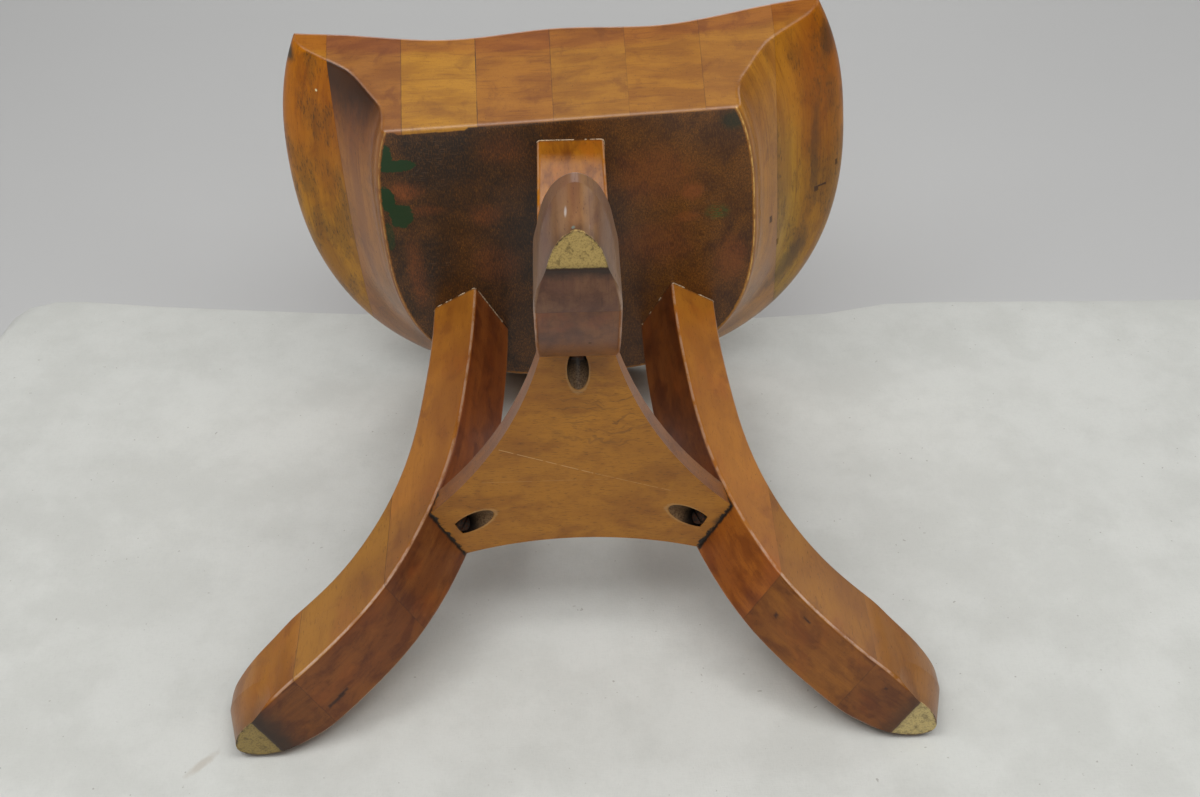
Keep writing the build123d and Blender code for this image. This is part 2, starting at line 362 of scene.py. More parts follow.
def pad_edge_distance(web, x, y):
    """How far a point of the underside lies inside the rounded border, in millimetres."""
    across = web.math("POWER", web.over(web.size(x), PAD_HALF_WIDTH), PAD_SQUARENESS)
    back = web.size(web.less(y, PAD_CENTRE_Y))
    along = web.math("POWER", web.over(back, PAD_HALF_DEPTH), PAD_SQUARENESS)
    share = web.math("POWER", web.add(across, along), 1 / PAD_SQUARENESS)
    return web.times(web.less(1.0, share), PAD_HALF_WIDTH)


def underside_finish(web, place, x, y):
    """The dark, blotched stain of the flat underside: its colour and its relief."""
    hairs = web.noise(place, (0.7, 3.2, 2), 4.0, 3.0, 0.7, 0.6)
    specks = web.noise(place, (1.2, 1.6, 2), 3.0, 3.0, 0.75)
    broad = web.noise(place, (24, 30, 17), 9.0, 5.0, 0.66, 0.8)
    ragged = web.ragged(place, (10, 13, 9), 2.0, 7.0)
    to_right = web.rise(web.add(x, web.times(ragged, 2.0)), -10.0, 60.0)
    deep = web.blend(to_right, (0.026, 0.0125, 0.0065), (0.052, 0.0185, 0.0065))
    warm = web.blend(to_right, (0.066, 0.026, 0.0105), (0.122, 0.045, 0.0080))
    colour = web.blend(web.rise(broad, 0.36, 0.62), deep, warm)
    thin = web.noise(place, (0.45, 1.7, 2), 1.0, 2.0, 0.7, 0.9)
    colour = web.blend(web.times(web.rise(hairs, 0.46, 0.66), 0.62), colour, (0.190, 0.078, 0.012))
    golden = web.times(web.rise(thin, 0.52, 0.64), web.rise(broad, 0.3, 0.6), 0.65)
    colour = web.blend(golden, colour, (0.28, 0.110, 0.016))
    colour = web.blend(web.times(web.rise(specks, 0.48, 0.60), 0.70), colour, deep)
    for centre, half, strength in REDDENED:
        fleck = web.add(0.35, web.times(web.rise(hairs, 0.38, 0.62), 0.65))
        spot = web.spot(x, y, centre, (half[0] * 1.5, half[1] * 1.5), web.times(ragged, 0.06))
        colour = web.blend(web.times(spot, strength, fleck), colour, (0.235, 0.068, 0.018))
    for centre, half, strength in BLACKENED:
        border = web.add(ragged, web.ragged(place, (3, 3, 3), 0.0, 5.0))
        stain = web.times(web.patch(x, y, centre, half, border, 7.0), web.rise(hairs, 0.80, 0.36))
        colour = web.blend(web.times(stain, strength), colour, SOOT)

    # Short pale tool marks in the blackened places
    marks = web.noise(web.join(web.over(x, 5.0), web.over(y, 0.8), 1.0), (1, 1, 1), 0.0, 2.0, 0.6, 0.7)
    scraped = web.most(
        web.spot(x, y, (-86.0, -94.0), (34.0, 34.0)),
        web.spot(x, y, (-93.0, -12.0), (18.0, 26.0)),
        web.times(web.spot(x, y, (96.0, -50.0), (18.0, 30.0)), 0.7),
    )
    marked = web.times(web.rise(marks, 0.58, 0.70), scraped)
    colour = web.blend(web.times(marked, 0.40), colour, (0.16, 0.095, 0.060))

    # Green paint at the left edge, and faint green at the right
    border = web.ragged(place, (6, 6, 6), 6.0, 0.55)
    for centre, half, strength in PAINTED:
        paint = web.spot(x, y, centre, half, border, 1.16, 1.04)
        colour = web.blend(web.times(paint, strength), colour, GREEN_PAINT)
    grassy = web.times(web.spot(x, y, (101.0, -38.0), (11.0, 8.0)), web.rise(marks, 0.42, 0.58))
    colour = web.blend(web.times(grassy, 0.75), colour, (0.040, 0.095, 0.022))
    corner = web.spot(x, y, (114.0, -108.0), (13.0, 11.0), web.times(ragged, 0.05))
    colour = web.blend(web.times(corner, 0.75), colour, (0.008, 0.022, 0.012))
    return colour, web.add(web.times(hairs, 0.5), web.times(marked, 0.9))


def redden_top_of_front(web, place, front, colour):
    """The darker, redder band along the top of the front face."""
    x, _, z = web.split(place)
    side = web.over(x, RIM_HALF_WIDTH)
    top = web.add(RIM_MIDDLE_Z, web.times(side, side, RIM_RISE))
    uneven = web.ragged(place, (26, 8, 4), 3.0, 6.0, 3.0)
    depth = web.add(web.less(top, z), uneven)
    band = web.times(front, web.rise(depth, 14.0, 6.0))
    return web.stain(web.times(band, 0.75), colour, (0.80, 0.62, 0.85))


def speckle_cove(web, place, cove, colour):
    """Short dark dashes in the coves, gathered in clouds."""
    dashes = web.rise(web.noise(place, (1.1, 5.5, 1.1), 8.0, 3.0, 0.7), 0.52, 0.64)
    cloud = web.noise(place, (16, 44, 20), 6.0, 3.0, 0.6)
    colour = web.blend(web.times(web.rise(cloud, 0.46, 0.62), cove, 0.42), colour, (0.115, 0.052, 0.010))
    gathered = web.times(dashes, web.rise(cloud, 0.38, 0.60), cove)
    return web.blend(web.times(gathered, 0.72), colour, (0.060, 0.030, 0.010))


def smoke_behind_ridge(web, place, cove, colour):
    """The dark smoke of the left cove behind the front ridge, thinning towards the back."""
    _, y, z = web.split(place)
    uneven = web.ragged(place, (9, 26, 9), 5.0, 13.0)
    thick = web.rise(web.add(y, uneven), -100.0, -128.0)
    thin = web.rise(web.add(y, uneven), -60.0, -120.0)
    high = web.rise(z, 8.0, 26.0)
    colour = web.stain(web.times(thin, cove, web.rise(z, 2.0, 16.0), 0.8), colour, (0.55, 0.42, 0.42))
    return web.blend(web.times(thick, high, cove, 0.85), colour, (0.034, 0.016, 0.009))


RIGHT_COVE_DENTS = (
    ((180.3, -16.5), (3.0, 0.8), 0.9),
    ((176.0, -15.0), (1.6, 2.2), 0.8),
    ((190.9, -30.8), (0.9, 2.4), 0.8),
    ((140.4, -10.5), (1.0, 2.8), 0.8),
    ((146.0, 16.0), (0.8, 3.0), 0.5),
)


def mark_right_cove(web, place, cove, colour, relief):
    """Dark streaks and dents of the right cove."""
    x, y, _ = web.split(place)
    uneven = web.ragged(place, (4, 14, 4), 1.0, 0.5)
    long_streak = web.spot(x, y, (174.5, -48.0), (5.0, 60.0), uneven)
    low_streak = web.spot(web.add(x, web.times(y, 0.62)), y, (181.0, 42.0), (13.0, 34.0), uneven)
    high_streak = web.spot(x, y, (184.0, -128.0), (9.0, 18.0), uneven)
    dirt = web.most(web.times(long_streak, 0.42), web.times(low_streak, 0.6), web.times(high_streak, 0.6))
    colour = web.blend(web.times(dirt, cove), colour, (0.050, 0.028, 0.014))
    for centre, half, strength in RIGHT_COVE_DENTS:
        dent = web.times(web.patch(x, y, centre, half, uneven, 0.5), cove)
        colour = web.blend(web.times(dent, strength), colour, (0.045, 0.020, 0.012))
        relief = web.add(relief, web.times(dent, 3.0))
    return colour, relief


def mark_left_rim(web, place, cove, colour):
    """The bruise on the left corner of the rim, and a pale fleck below it."""
    x, y, z = web.split(place)
    corner = web.spot(x, y, (-183.0, -144.0), (7.0, 9.0), web.ragged(place, (3, 3, 3), 0.0, 0.3))
    colour = web.blend(web.times(corner, web.rise(z, 60.0, 68.0), 0.9), colour, (0.030, 0.034, 0.022))
    fleck = web.times(web.spot(x, y, (-165.1, -122.0), (1.1, 1.3)), cove)
    return web.blend(fleck, colour, (0.75, 0.68, 0.40))


def seat_stave(number):
    """One stave of the seat, with its share of the seat's stains and wear."""
    web = Web(f"seat_stave_{number}_lacquered_wood")
    place = web.own_place(SEAT_CENTRE, SEAT_TURN)
    x, y, z = web.split(place)
    seed = number * 1.7
    tone, left_seam, right_seam = STAVE_WOODS[number]
    colour, relief = board(web, place, seed, tone)
    front = web.rise(web.facing((0.0, -1.0, 0.0)), 0.60, 0.78)
    below = web.rise(web.facing((0.0, 0.0, 1.0)), 0.35, 0.05)
    cove = web.times(web.rise(z, 0.4, 1.5), web.less(1.0, front), below)
    colour = redden_top_of_front(web, place, front, colour)
    if number in (2, 7):
        colour = web.stain(cove, colour, (1.26, 1.26, 1.10))
    if number in (1, 8):
        colour = web.stain(front, colour, (0.84, 1.05, 2.50))
        golden = web.rise(web.add(y, web.ragged(place, (12, 40, 20), 4.0, 40.0)), -110.0, 0.0)
        colour = web.stain(web.times(golden, cove), colour, (1.02, 1.42, 1.80))
    if number == 8:
        hazy = web.times(web.rise(x, 174.0, 150.0), cove)
        colour = web.stain(hazy, colour, (1.06, 1.34, 2.40))
    if number in COVE_SPECKLES:
        colour = speckle_cove(web, place, web.times(cove, COVE_SPECKLES[number]), colour)
    if number == 1:
        colour = mark_left_rim(web, place, cove, colour)
    if number == 2:
        colour = smoke_behind_ridge(web, place, cove, colour)
    if number >= 7:
        colour, relief = mark_right_cove(web, place, cove, colour, relief)

    # The crease between the flat underside and the cove, rubbed pale on the right
    inside = pad_edge_distance(web, x, y)
    crease = web.times(web.rise(web.size(web.add(inside, 0.3)), 0.75, 0.25), web.rise(z, 1.5, 0.6))
    rubbed = web.rise(web.noise(place, (2, 7, 2), 3.0, 4.0, 0.7), 0.36, 0.60)
    right = web.times(web.rise(x, 60.0, 90.0), web.rise(y, 44.0, 20.0))
    left = web.times(web.rise(x, -90.0, -100.0), 0.45)
    colour = web.blend(web.times(crease, rubbed, web.most(right, left)), colour, WORN_WOOD)

    # The flat underside, stained dark up to a ragged border
    border = web.ragged(place, (3.5, 2.5, 6), 7.0, 1.0)
    scuffed = web.times(web.rise(x, -58.0, -64.0), web.rise(x, -112.0, -107.0), 3.2)
    from_front = web.add(web.less(web.less(y, FRONT_EDGE_Y), scuffed), 0.8)
    margin = web.math("MINIMUM", web.less(inside, 0.7), from_front)
    stained = web.times(web.rise(z, 0.6, 0.15), web.rise(web.add(margin, border), -0.3, 0.7))
    dark_colour, dark_relief = underside_finish(web, place, x, y)
    colour = web.blend(stained, colour, dark_colour)
    relief = web.mix(stained, relief, dark_relief)

    # Seams to the neighbours, darker where they are open
    offset = web.less(x, STAVE_SEAM_X)
    nearest = web.times(web.math("ROUND", web.over(offset, STAVE_WIDTH)), STAVE_WIDTH)
    seam = web.size(web.less(offset, nearest))
    middle = STAVE_SEAM_X + STAVE_WIDTH * (number - 4.5)
    openness = web.mix(web.rise(x, middle - 1.0, middle + 1.0), left_seam, right_seam)
    open_here = web.rise(web.noise(place, (40, 15, 15), 2.0, 3.0), 0.32, 0.62)
    line = web.times(web.rise(seam, 0.42, 0.10), openness, web.add(0.35, web.times(open_here, 0.65)))
    line = web.times(line, web.less(1.0, web.times(stained, 0.6)))
    colour = web.blend(line, colour, (0.022, 0.010, 0.006))
    relief = web.add(relief, web.times(line, 1.5))
    return lacquer(web, place, colour, relief, seed, 0.24 if number in (1, 8) else 0.48, 0.03)


# Legs

# Each board's tone. The front toe's greyer, pinker tone also paints the sheen seen on it.
LEG_WOODS_AND_SHEEN = {
    "front": {"post": (0.450, 0.150, 0.005), "knee": (0.300, 0.104, 0.022), "toe": (0.188, 0.089, 0.037)},
    "right": {"post": (0.372, 0.132, 0.014), "knee": (0.268, 0.099, 0.008), "toe": (0.244, 0.086, 0.008)},
    "left": {"post": (0.346, 0.124, 0.014), "knee": (0.291, 0.115, 0.009), "toe": (0.304, 0.108, 0.008)},
}
# What the stain on its inner and outer faces lets through. On the front leg these tints are bluer, to paint
# the grey sheen on its inner and outer faces.
CUT_STAINS_AND_SHEEN = {
    "front": {"post": (0.63, 0.63, 0.90), "knee": (0.63, 0.63, 0.90), "toe": (0.92, 0.82, 0.95)},
    "right": {"post": (0.46, 0.36, 0.62), "knee": (0.80, 0.72, 1.00), "toe": (0.70, 0.62, 0.90)},
    "left": {"post": (0.80, 0.59, 0.90), "knee": (0.56, 0.42, 0.84), "toe": (0.47, 0.40, 0.80)},
}
# Painted shading low on the rear posts: how much lighter or darker their inner faces, then their sides, are
# painted below the stretcher's level than above it
LOW_POST_PAINTED_SHADING = {
    "right": ((1.70, 1.78, 1.20), (0.95, 0.95, 0.90)),
    "left": ((0.60, 0.72, 0.95), (0.78, 0.82, 0.95)),
}
# The bare wood of each sole
SOLE_WOODS = {"front": (0.450, 0.315, 0.105), "right": (0.560, 0.430, 0.170), "left": (0.310, 0.215, 0.060)}

# Small knocks on the inner faces: (reach, place across), half size
LEG_KNOCKS = {
    "left": (((176.0, -9.2), (5.5, 1.1)), ((171.0, -8.2), (3.0, 0.8))),
    "right": (((132.8, 0.6), (0.9, 1.6)), ((144.8, -12.6), (2.0, 0.6)), ((197.8, -10.3), (0.9, 0.9))),
    "front": (((150.0, 6.0), (1.0, 0.5)),),
}
# Flecks of paint on the nose of the front toe: (place across, height), half size and colour
NOSE_MARKS = (
    ((-5.0, 14.0), (0.9, 4.2), (0.62, 0.58, 0.54)),
    ((6.5, 4.6), (0.8, 3.4), (0.50, 0.44, 0.40)),
    ((-1.5, 2.6), (1.3, 1.2), (0.13, 0.26, 0.24)),
)
# How strongly the seams show on the sides of each leg
SIDE_SEAMS = {"front": 0.5, "right": 0.25, "left": 0.9}
# How far the grime creeps up from each sole, and how dark it is
GRIME = {"front": (6.0, 1.0), "right": (9.0, 0.6), "left": (16.0, 1.0)}


def dirty_joints(web, place, azimuth, colour, uneven):
    """Dark lines where the leg meets the seat and the stretcher."""
    _, across, height = web.split(place)
    seat_level = SEAT_UNDERSIDE / MM
    at_seat = web.rise(web.add(height, uneven), seat_level - 2.5, seat_level)
    colour = web.blend(web.times(at_seat, 0.7), colour, UMBER)
    level = STRETCHER_UNDERSIDE / MM
    beside = web.rise(web.size(across), ARM_HALF_WIDTH + 2.0, ARM_HALF_WIDTH)
    near = web.rise(web.add(height, uneven), level - 2.4, level - 0.6)
    below = web.times(near, web.rise(height, level + 8.0, level + 2.0))
    inner = web.rise(web.facing((math.cos(azimuth), math.sin(azimuth), 0.0)), -0.2, -0.5)
    return web.blend(web.times(beside, below, inner), colour, SOOT)


def dirty_foot(web, place, leg, cut, colour, relief, seed):
    """The bare sole of a foot, and the dirt that has crept up round it."""
    reach, across, height = web.split(place)
    uneven = web.ragged(place, (7, 7, 7), seed, 5.0)
    from_sole = web.length(web.most(web.less(SOLE_REACH, reach), 0.0), height)
    grime_reach, strength = GRIME[leg]
    grime = web.times(web.rise(web.add(from_sole, uneven), grime_reach + 3.0, 0.0), strength)
    colour = web.blend(web.times(grime, web.add(0.35, web.times(cut, 0.6))), colour, DIRT)
    bare_edge = web.ragged(place, (3.5, 3.5, 3.5), seed, 0.22)
    heel_end, toe_end = BARE_SOLE_REACH
    run = web.over(web.most(web.less(reach, heel_end), 0.0), toe_end - heel_end)
    span = web.over(web.size(across), BARE_SOLE_HALF_WIDTH)
    arch = web.add(web.math("POWER", run, 1.5), web.math("POWER", span, 1.5), bare_edge)
    behind = web.rise(web.add(reach, web.times(bare_edge, 4.0)), heel_end - 0.7, heel_end + 0.3)
    sole = web.times(web.rise(arch, 1.08, 0.94), behind, web.rise(height, 1.2, 0.8))
    freckles = web.rise(web.noise(place, (1.2, 1.2, 1.2), seed, 4.0, 0.75), 0.46, 0.64)
    smudge = web.rise(web.noise(place, (5, 4, 5), seed * 2, 4.0, 0.7), 0.50, 0.66)
    wood = SOLE_WOODS[leg]
    bare = web.blend(web.times(freckles, 0.65), wood, shade(wood, 0.45, 0.42, 0.38))
    bare = web.blend(web.times(smudge, 0.60), bare, shade(wood, 0.22, 0.20, 0.22))
    heel = web.rise(reach, SOLE_REACH + 5.0, SOLE_REACH)
    bare = web.blend(web.times(heel, 0.4), bare, (0.12, 0.085, 0.035))
    return web.blend(sole, colour, bare), web.mix(sole, relief, web.times(freckles, 2.0))


def leg_board(leg, part):
    """One board of a leg, with the dirt, wear and bare sole that fall on it, and some painted shading, sheen
    and edge highlight.
    """
    azimuth = LEG_AZIMUTHS[leg]
    web = Web(f"leg_{leg}_{part}_lacquered_wood")
    place = web.own_place(FLOOR_CENTRE, azimuth)
    reach, across, height = web.split(place)
    seed = 3.1 * (1 + list(LEG_AZIMUTHS).index(leg)) + 1.3 * ("post", "knee", "toe").index(part)
    grain_place = web.join(reach, height, across)
    tone = LEG_WOODS_AND_SHEEN[leg][part]
    colour, relief = board(web, grain_place, seed, tone, 0.38, 0.50, 0.55)

    # Inner and outer faces took more stain; on the front leg their tint also holds painted sheen. The
    # rounded nose of the toe took less.
    sideways = web.size(web.facing((-math.sin(azimuth), math.cos(azimuth), 0.0)))
    nose = web.rise(reach, NOSE_REACH - 4.0, NOSE_REACH + 2.0)
    cut = web.times(web.rise(sideways, 0.50, 0.25), web.less(1.0, web.times(nose, 0.7)))
    blotch = web.noise(place, (17, 13, 30), seed, 4.0, 0.6, 0.4)
    colour = web.stain(cut, colour, CUT_STAINS_AND_SHEEN[leg][part])
    # Painted shading: the rear posts turn lighter or darker low down, below the stretcher's level
    if part == "post" and leg in LOW_POST_PAINTED_SHADING:
        low = web.rise(web.add(height, web.ragged(place, (20, 20, 20), seed, 12.0)), 128.0, 102.0)
        cut_shading, side_shading = LOW_POST_PAINTED_SHADING[leg]
        colour = web.stain(web.times(low, cut), colour, cut_shading)
        colour = web.stain(web.times(low, web.less(1.0, cut)), colour, side_shading)
    colour = web.stain(web.times(cut, web.rise(blotch, 0.42, 0.66), 0.8), colour, (0.55, 0.45, 0.50))
    warm = web.noise(place, (26, 18, 40), seed * 2, 3.0, 0.55)
    colour = web.blend(web.times(web.rise(warm, 0.50, 0.72), 0.30), colour, shade(tone, 0.95, 0.62, 0.8))
    specks = web.rise(web.noise(place, (1.6, 1.6, 3.6), seed * 2, 3.0, 0.7), 0.63, 0.71)
    colour = web.blend(web.times(specks, 0.45), colour, UMBER)

    # Rounded edges, rubbed pale here and there, but not the curved sides of the toe. The pale line is part
    # wear and part a painted highlight.
    edge = web.times(web.rise(sideways, 0.35, 0.60), web.rise(sideways, 0.96, 0.84))
    edge = web.times(edge, web.rise(reach, TOE_CURVE_REACH + 6.0, TOE_CURVE_REACH - 4.0))
    wear_and_highlight = web.noise(place, (12, 6, 14), seed, 4.0, 0.65)
    colour = web.blend(web.times(edge, web.rise(wear_and_highlight, 0.38, 0.58), 0.55), colour, (0.50, 0.33, 0.24))

    uneven = web.ragged(place, (4, 4, 4), seed, 1.8)
    colour = dirty_joints(web, place, azimuth, colour, uneven)
    for seam_reach in LEG_SEAM_REACH:
        seam = web.size(web.less(reach, seam_reach))
        open_here = web.rise(web.noise(place, (9, 9, 9), seed, 3.0), 0.30, 0.60)
        line = web.times(web.rise(seam, 0.40, 0.08), web.add(0.30, web.times(open_here, 0.4)))
        line = web.times(line, web.mix(cut, SIDE_SEAMS[leg], 0.55))
        colour = web.blend(line, colour, (0.030, 0.012, 0.007))
        relief = web.add(relief, line)
    for centre, half in LEG_KNOCKS[leg]:
        knock = web.patch(reach, across, centre, half, web.times(uneven, 0.5), 0.8)
        knock = web.times(knock, cut, web.rise(height, 60.0, 55.0))
        colour = web.blend(web.times(knock, 0.85), colour, (0.026, 0.011, 0.008))
        relief = web.add(relief, web.times(knock, 2.0))
    if part == "toe":
        colour, relief = dirty_foot(web, place, leg, cut, colour, relief, seed)
    if part == "toe" and leg == "front":
        on_nose = web.rise(reach, NOSE_REACH - 3.0, NOSE_REACH)
        for centre, half, mark in NOSE_MARKS:
            fleck = web.times(web.spot(across, height, centre, half), on_nose, 0.45)
            colour = web.blend(fleck, colour, mark)
    return lacquer(web, grain_place, colour, relief, seed, 0.20 if leg == "front" else 0.36)


# Stretcher

SCRATCHES = (
    ((-47.9, -18.6), (7.6, 1.4), 0.40, 0.65),
    ((9.0, 1.8), (55.9, 17.5), 0.34, 0.35),
    ((-59.2, 6.8), (16.0, 6.4), 0.30, 0.25),
)


def scratch_plate(web, place, colour):
    """Three thin scratches through the lacquer of the underside."""
    x, y, z = web.split(place)
    for start, end, width, strength in SCRATCHES:
        line = web.scratch(x, y, start, end, width)
        broken = web.rise(web.noise(place, (4, 4, 4), 1.0, 2.0), 0.30, 0.50)
        colour = web.blend(web.times(line, broken, web.rise(z, 1.0, 0.5), strength), colour, SCRATCHED_WOOD)
    return colour


def place_on_arm(web, x, y, azimuth):
    """How far out along an arm of the stretcher a point lies, and how far across it."""
    reach = web.add(web.times(x, math.cos(azimuth)), web.times(y, math.sin(azimuth)))
    return reach, web.add(web.times(x, -math.sin(azimuth)), web.times(y, math.cos(azimuth)))


def pocket_wood(web, place, azimuth, colour):
    """A screw pocket in one arm: raw rim, painted shade inside that is darkest at the outer end, and a paler
    slope.
    """
    x, y, z = web.split(place)
    reach, across = place_on_arm(web, x, y, azimuth)
    along = web.less(web.less(reach, POCKET_REACH), web.times(z, 1 / math.tan(POCKET_SLANT)))
    along = web.over(along, POCKET_RADIUS / math.sin(POCKET_SLANT))
    round_it = web.length(along, web.over(across, POCKET_RADIUS))
    on_arm = web.rise(reach, 40.0, 50.0)
    uneven = web.ragged(place, (3, 3, 3), 8.0, 0.16)
    rim = web.times(web.rise(web.add(round_it, uneven), 1.20, 1.04), web.rise(z, 0.5, 0.2), on_arm)
    rim = web.times(rim, web.rise(along, 0.8, -0.3))
    colour = web.blend(web.times(rim, 0.40), colour, (0.46, 0.29, 0.12))
    # The inside of the pocket: painted shade, darkest at the outer end, over paler raw wood on the slope
    inside = web.times(web.rise(round_it, 1.03, 1.0), web.rise(z, 0.2, 0.6), on_arm)
    grain = web.noise(place, (1.0, 1.0, 1.0), 2.0, 3.0, 0.7)
    slope = web.blend(web.rise(grain, 0.35, 0.65), (0.075, 0.042, 0.022), (0.20, 0.125, 0.065))
    painted_shade = web.blend(web.rise(grain, 0.5, 0.8), (0.008, 0.006, 0.005), (0.045, 0.026, 0.015))
    deep = web.rise(web.add(reach, web.times(uneven, 12.0)), POCKET_REACH - 6.0, POCKET_REACH + 5.0)
    return web.blend(inside, colour, web.blend(deep, slope, painted_shade))


def end_joint(web, place, azimuth, colour):
    """Old black glue along the end of one arm."""
    x, y, z = web.split(place)
    reach, _ = place_on_arm(web, x, y, azimuth)
    past_end = web.less(reach, web.less(STRETCHER_END_REACH, web.times(z, STRETCHER_END_LEAN)))
    uneven = web.ragged(place, (8, 8, 8), 8.0, 6.0)
    return web.blend(web.rise(web.add(past_end, uneven), -3.2, -1.2), colour, SOOT)


def stretcher_plate():
    """The stretcher, with its scratches, raw pockets with painted shade inside, and dark end joints."""
    web = Web("stretcher_lacquered_wood")
    place = web.own_place((TRIPOD_CENTRE.x, TRIPOD_CENTRE.y, STRETCHER_UNDERSIDE))
    x, y, z = web.split(place)
    grain_place = web.join(y, x, z)
    colour, relief = board(web, grain_place, 2.4, (0.338, 0.130, 0.014), 0.35, 0.45, 0.5)
    dashes = web.rise(web.noise(place, (5.5, 0.8, 2), 3.0, 3.0, 0.7), 0.56, 0.66)
    colour = web.blend(web.times(dashes, 0.65), colour, (0.110, 0.046, 0.012))
    swirl_y = web.add(y, web.ragged(place, (34, 30, 30), 5.0, 14.0, 3.0))
    swirl = web.noise(web.join(x, swirl_y, 0.0), (30, 2.6, 1), 5.0, 3.0, 0.6)
    cathedral = web.spot(x, y, (20.0, -45.0), (60.0, 45.0))
    colour = web.blend(web.times(web.rise(swirl, 0.54, 0.64), cathedral, 0.5), colour, (0.13, 0.056, 0.016))
    cloud = web.noise(place, (26, 14, 20), 7.0, 4.0, 0.6, 0.5)
    colour = web.stain(web.times(web.rise(cloud, 0.48, 0.66), 0.5), colour, (0.66, 0.60, 0.70))

    # Paler towards the front arm, and redder on the sawn sides
    colour = web.stain(web.rise(y, -8.0, -45.0), colour, (1.14, 1.16, 1.05))
    sawn = web.rise(web.size(web.facing((0.0, 0.0, 1.0))), 0.6, 0.3)
    colour = web.stain(sawn, colour, (0.66, 0.54, 0.45))
    colour = scratch_plate(web, place, colour)
    stain = web.spot(x, y, (86.0, 44.0), (7.0, 6.0), web.ragged(place, (3, 3, 3), 0.0, 0.3))
    colour = web.blend(web.times(stain, 0.8), colour, (0.035, 0.020, 0.012))
    for azimuth in LEG_AZIMUTHS.values():
        colour = pocket_wood(web, place, azimuth, colour)
        colour = end_joint(web, place, azimuth, colour)
    return lacquer(web, grain_place, colour, relief, 2.4, 0.30, 0.02)


# Joinery


def dowel_wood():
    """Bare pale wood for the dowels."""
    web = Web("dowel_bare_wood")
    place = web.own_place()
    x, y, z = web.split(place)
    colour, relief = board(web, web.join(x, z, y), 5.0, (0.55, 0.40, 0.23))
    return web.finish(colour, 0.65, relief, 0.04 * MM)


def old_iron():
    """Dull iron with rust, for the screws."""
    web = Web("screw_old_iron")
    place = web.own_place()
    rust = web.rise(web.noise(place, (1.4, 1.4, 1.4), 0.0, 4.0, 0.7), 0.45, 0.62)
    colour = web.blend(rust, IRON, (0.12, 0.045, 0.02))
    roughness = web.add(0.42, web.times(rust, 0.4))
    return web.finish(colour, roughness, rust, 0.06 * MM, metal=0.8)


def dried_glue():
    """Pale old glue, dusty and cracked."""
    web = Web("dried_glue")
    place = web.own_place()
    dust = web.noise(place, (1.5, 1.5, 1.5), 0.0, 4.0, 0.7)
    colour = web.blend(web.rise(dust, 0.40, 0.66), DRIED_GLUE, (0.13, 0.075, 0.035))
    return web.finish(colour, 0.55, dust, 0.1 * MM)


def dress(name, material):
    """One CAD node gets its finish."""
    piece = frame["nodes"][name]
    piece.data.materials.clear()
    piece.data.materials.append(material)


def dress_all():
    """Every CAD node gets its finish."""
    for number in STAVE_WOODS:
        dress(f"seat_stave_{number}", seat_stave(number))
    for leg, boards in LEG_WOODS_AND_SHEEN.items():
        for part in boards:
            dress(f"leg_{leg}_{part}", leg_board(leg, part))
    dress("stretcher", stretcher_plate())
    dowels, iron = dowel_wood(), old_iron()
    for leg in LEG_AZIMUTHS:
        dress(f"dowel_{leg}_a", dowels)
        dress(f"dowel_{leg}_b", dowels)
        dress(f"screw_{leg}", iron)


# Glue squeezed out of the joints between the legs and the seat

GLUE_RADIUS = 0.95
GLUE_DROP = 0.1
GLUE_STEP = 0.7
# How much of each joint's line has glue, and the seed of its gaps
GLUE_BEADS = {"front": (0.54, 2.0), "right": (0.46, 5.0), "left": (0.55, 9.0)}
GLUE_INPUTS = {"Line": "Geometry", "Radius": "Float", "Cover": "Float", "Seed": "Float", "Glue": "Material"}


def glue_tree():
    """Geometry nodes: a broken, uneven bead along the edges of the mesh that they are given."""
    tree = bpy.data.node_groups.new("glue_bead_along_joint", "GeometryNodeTree")
    for name, kind in GLUE_INPUTS.items():
        tree.interface.new_socket(name, in_out="INPUT", socket_type=f"NodeSocket{kind}")
    tree.interface.new_socket("Bead", in_out="OUTPUT", socket_type="NodeSocketGeometry")

    def put(kind, inputs, **settings):
        return add_node(tree, kind, inputs, **settings)

    given = put("NodeGroupInput", {})
    place = put("GeometryNodeInputPosition", {}).outputs[0]
    inputs = {"Vector": place, "W": given.outputs["Seed"], "Scale": 110.0, "Detail": 3.0}
    gaps = put("ShaderNodeTexNoise", inputs, noise_dimensions="4D").outputs[0]
    inputs = {0: gaps, 1: given.outputs["Cover"]}
    missing = put("FunctionNodeCompare", inputs, operation="GREATER_THAN").outputs[0]
    kept = put("GeometryNodeDeleteGeometry", {0: given.outputs["Line"], 1: missing}).outputs[0]
    line = put("GeometryNodeMeshToCurve", {"Mesh": kept}).outputs[0]
    inputs = {"Vector": place, "W": given.outputs["Seed"], "Scale": 420.0, "Detail": 2.0}
    lumps = put("ShaderNodeTexNoise", inputs, noise_dimensions="4D").outputs[0]
    swell = put("ShaderNodeMath", {0: lumps, 1: given.outputs["Radius"]}, operation="MULTIPLY").outputs[0]
    profile = put("GeometryNodeCurvePrimitiveCircle", {"Resolution": 8, "Radius": 1.0}).outputs[0]
    sweep = {"Curve": line, "Profile Curve": profile, "Scale": swell, "Fill Caps": True}
    beads = put("GeometryNodeCurveToMesh", sweep).outputs[0]
    beads = put("GeometryNodeRealizeInstances", {0: beads}).outputs[0]
    beads = put("GeometryNodeSetMaterial", {0: beads, "Material": given.outputs["Glue"]}).outputs[0]
    put("NodeGroupOutput", {0: beads})
    return tree


def rounded_box_path(low, high, half, corner, step):
    """Points round a box with rounded corners, in reach and across, in millimetres."""
    far, near, side = high - corner, low + corner, half - corner
    points = []
    for quarter, (x, y) in enumerate(((far, side), (near, side), (near, -side), (far, -side))):
        for part in range(5):
            turn = math.pi / 2 * (quarter + part / 4)
            points.append(Vector((x + corner * math.cos(turn), y + corner * math.sin(turn))))
    path = []
    for start, end in zip(points, points[1:] + points[:1]):
        count = max(1, round((end - start).length / step))
        path += [start.lerp(end, share / count) for share in range(count)]
    return path


